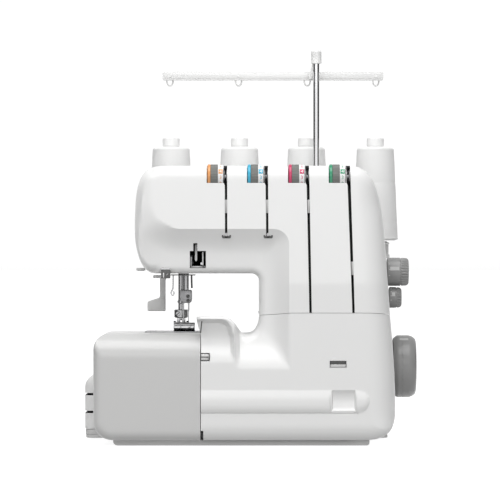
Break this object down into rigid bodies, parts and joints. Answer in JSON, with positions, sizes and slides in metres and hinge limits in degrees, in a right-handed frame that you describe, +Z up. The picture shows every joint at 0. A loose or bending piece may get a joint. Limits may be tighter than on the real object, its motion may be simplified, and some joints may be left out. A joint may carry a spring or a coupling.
{
  "type": "serger overlock machine",
  "caption": "Thread overlock machine with a raised head, hinged looper and side covers, tension dials, side handwheel and a telescopic thread stand carrying cones.",
  "frame": {"origin": "on the table, under the middle of the machine's bounding box", "axes": "+X to the operator's right (handwheel side), +Y away from the operator to the thread stand, +Z up"},
  "size_m": [0.352, 0.26, 0.42],
  "materials": {
    "white_casing": "satin moulded, warm white",
    "grey_cover": "satin moulded, light grey",
    "base_moulding": "matt, mid grey",
    "foot_rubber": "matt black",
    "cast_frame": "as cast",
    "plated_steel": "polished",
    "ground_steel": "ground",
    "knob_grey": "satin, ribbed",
    "black_plastic": "fine texture",
    "window_plastic": "smoked",
    "thread": "cross wound thread on a plastic core",
    "motor_steel": "dark paint",
    "belt_rubber": "matt",
    "dial_orange": "satin, one orange rim",
    "dial_blue": "satin, one blue rim",
    "dial_crimson": "satin, one crimson rim",
    "dial_green": "satin, one green rim"
  },
  "bodies": {
    "frame": {"base_plate": "base_moulding", "foot_front_left": "foot_rubber", "foot_front_right": "foot_rubber", "foot_rear_left": "foot_rubber", "foot_rear_right": "foot_rubber", "main_frame": "cast_frame", "needle_plate": "plated_steel", "lower_knife": "ground_steel", "head_cover": "white_casing", "rear_cover": "white_casing", "lower_casing": "white_casing", "spool_stand": "white_casing", "thread_cone_1": "thread", "thread_cone_2": "thread", "thread_cone_3": "thread", "thread_cone_4": "thread", "pole_lower_tube": "plated_steel", "shaft_bush": "ground_steel", "drive_belt": "belt_rubber", "motor": "motor_steel", "tension_unit_1": "plated_steel", "tension_unit_2": "plated_steel", "tension_unit_3": "plated_steel", "tension_unit_4": "plated_steel", "thread_guide_left": "plated_steel", "thread_guide_right": "plated_steel", "thread_cutter": "grey_cover", "power_inlet": "black_plastic"},
    "looper_cover": {"looper_cover": "white_casing", "feed_window": "window_plastic"},
    "cover_catch": {"cover_catch": "white_casing"},
    "side_cover": {"side_cover": "grey_cover"},
    "main_shaft": {"handwheel": "knob_grey", "main_shaft": "ground_steel", "machine_pulley": "ground_steel"},
    "motor_shaft": {"motor_pulley": "ground_steel"},
    "stitch_length_dial": {"stitch_length_dial": "knob_grey"},
    "differential_feed_dial": {"differential_feed_dial": "knob_grey"},
    "tension_dial_1": {"tension_dial_1": "dial_orange"},
    "tension_dial_2": {"tension_dial_2": "dial_blue"},
    "tension_dial_3": {"tension_dial_3": "dial_crimson"},
    "tension_dial_4": {"tension_dial_4": "dial_green"},
    "foot_lifter": {"presser_foot_lifter": "grey_cover"},
    "presser_bar": {"presser_bar": "plated_steel", "presser_ankle": "plated_steel"},
    "presser_foot": {"presser_foot": "plated_steel"},
    "needle_bar": {"needle_bar": "plated_steel", "needle_clamp": "ground_steel", "needle_left": "plated_steel", "needle_right": "plated_steel"},
    "take_up_lever": {"take_up_lever": "plated_steel"},
    "upper_looper": {"upper_looper": "plated_steel"},
    "lower_looper": {"lower_looper": "plated_steel"},
    "upper_knife": {"upper_knife": "ground_steel"},
    "feed_dogs": {"feed_dogs": "ground_steel"},
    "thread_pole": {"pole_upper_tube": "plated_steel", "guide_bar": "white_casing", "pole_cap": "white_casing"},
    "power_switch": {"power_switch": "black_plastic"}
  },
  "joints": [
    {"name": "looper_cover_open", "type": "hinge", "parent": "frame", "child": "looper_cover", "pos_m": [0.05, -0.121, 0.0105], "axis": [1, 0, 0], "range_deg": [0, 85]},
    {"name": "cover_catch_press", "type": "slide", "parent": "looper_cover", "child": "cover_catch", "axis": [0, 1, 0], "range_m": [0, 0.002], "stiffness_N_per_m": 300},
    {"name": "side_cover_open", "type": "hinge", "parent": "frame", "child": "side_cover", "pos_m": [-0.16, -0.018, 0.06], "axis": [0, 0, -1], "range_deg": [0, 95]},
    {"name": "handwheel_turn", "type": "hinge", "parent": "frame", "child": "main_shaft", "pos_m": [0.1, -0.015, 0.0795], "axis": [1, 0, 0], "continuous": true},
    {"name": "motor_turn", "type": "hinge", "parent": "frame", "child": "motor_shaft", "pos_m": [0.09, 0.04, 0.042], "axis": [1, 0, 0], "continuous": true},
    {"name": "stitch_length_turn", "type": "hinge", "parent": "frame", "child": "stitch_length_dial", "pos_m": [0.15, -0.045, 0.18], "axis": [1, 0, 0], "range_deg": [0, 300]},
    {"name": "differential_feed_turn", "type": "hinge", "parent": "frame", "child": "differential_feed_dial", "pos_m": [0.15, -0.045, 0.153], "axis": [1, 0, 0], "range_deg": [-90, 180]},
    {"name": "tension_turn_1", "type": "hinge", "parent": "frame", "child": "tension_dial_1", "pos_m": [-0.037, -0.1045, 0.279], "axis": [1, 0, 0], "range_deg": [-150, 150]},
    {"name": "tension_turn_2", "type": "hinge", "parent": "frame", "child": "tension_dial_2", "pos_m": [0.0055, -0.1045, 0.279], "axis": [1, 0, 0], "range_deg": [-150, 150]},
    {"name": "tension_turn_3", "type": "hinge", "parent": "frame", "child": "tension_dial_3", "pos_m": [0.048, -0.1045, 0.279], "axis": [1, 0, 0], "range_deg": [-150, 150]},
    {"name": "tension_turn_4", "type": "hinge", "parent": "frame", "child": "tension_dial_4", "pos_m": [0.09, -0.1045, 0.279], "axis": [1, 0, 0], "range_deg": [-150, 150]},
    {"name": "presser_bar_lift", "type": "slide", "parent": "frame", "child": "presser_bar", "axis": [0, 0, 1], "range_m": [0, 0.006]},
    {"name": "foot_lifter_raise", "type": "hinge", "parent": "frame", "child": "foot_lifter", "pos_m": [-0.073, 0.054, 0.19], "axis": [0, 1, 0], "range_deg": [0, 60.3]},
    {"name": "presser_foot_tilt", "type": "hinge", "parent": "presser_bar", "child": "presser_foot", "pos_m": [-0.073, -0.026, 0.1254], "axis": [-1, 0, 0], "range_deg": [0, 8]},
    {"name": "needle_bar_stroke", "type": "slide", "parent": "frame", "child": "needle_bar", "axis": [0, 0, 1], "range_m": [-0.01, 0.015]},
    {"name": "take_up_swing", "type": "hinge", "parent": "frame", "child": "take_up_lever", "pos_m": [-0.022, -0.08, 0.203], "axis": [0, 1, 0], "range_deg": [-6, 9]},
    {"name": "upper_looper_swing", "type": "hinge", "parent": "frame", "child": "upper_looper", "pos_m": [-0.038, -0.03, 0.062], "axis": [0, 1, 0], "range_deg": [-7.2, 5]},
    {"name": "lower_looper_swing", "type": "hinge", "parent": "frame", "child": "lower_looper", "pos_m": [-0.078, -0.03, 0.058], "axis": [0, 1, 0], "range_deg": [-5, 7.2]},
    {"name": "upper_knife_stroke", "type": "slide", "parent": "frame", "child": "upper_knife", "axis": [0, 0, 1], "range_m": [-0.0021, 0.0031]},
    {"name": "feed_dog_stroke", "type": "slide", "parent": "frame", "child": "feed_dogs", "axis": [0, 1, 0], "range_m": [-0.0011, 0.0016]},
    {"name": "thread_pole_height", "type": "slide", "parent": "frame", "child": "thread_pole", "axis": [0, 0, 1], "range_m": [-0.05, 0]},
    {"name": "power_switch_rock", "type": "hinge", "parent": "frame", "child": "power_switch", "pos_m": [0.1475, 0.035, 0.094], "axis": [0, 1, 0], "range_deg": [0, 12]}
  ],
  "couplings": [
    {"joint": "motor_turn", "follows": "handwheel_turn", "ratio": 3.5},
    {"joint": "foot_lifter_raise", "follows": "presser_bar_lift", "rad_per_m": 174.53},
    {"joint": "take_up_swing", "follows": "needle_bar_stroke", "rad_per_m": 10},
    {"joint": "upper_looper_swing", "follows": "needle_bar_stroke", "rad_per_m": -8},
    {"joint": "lower_looper_swing", "follows": "needle_bar_stroke", "rad_per_m": 8},
    {"joint": "upper_knife_stroke", "follows": "needle_bar_stroke", "ratio": 0.2},
    {"joint": "feed_dog_stroke", "follows": "needle_bar_stroke", "ratio": 0.1}
  ]
}
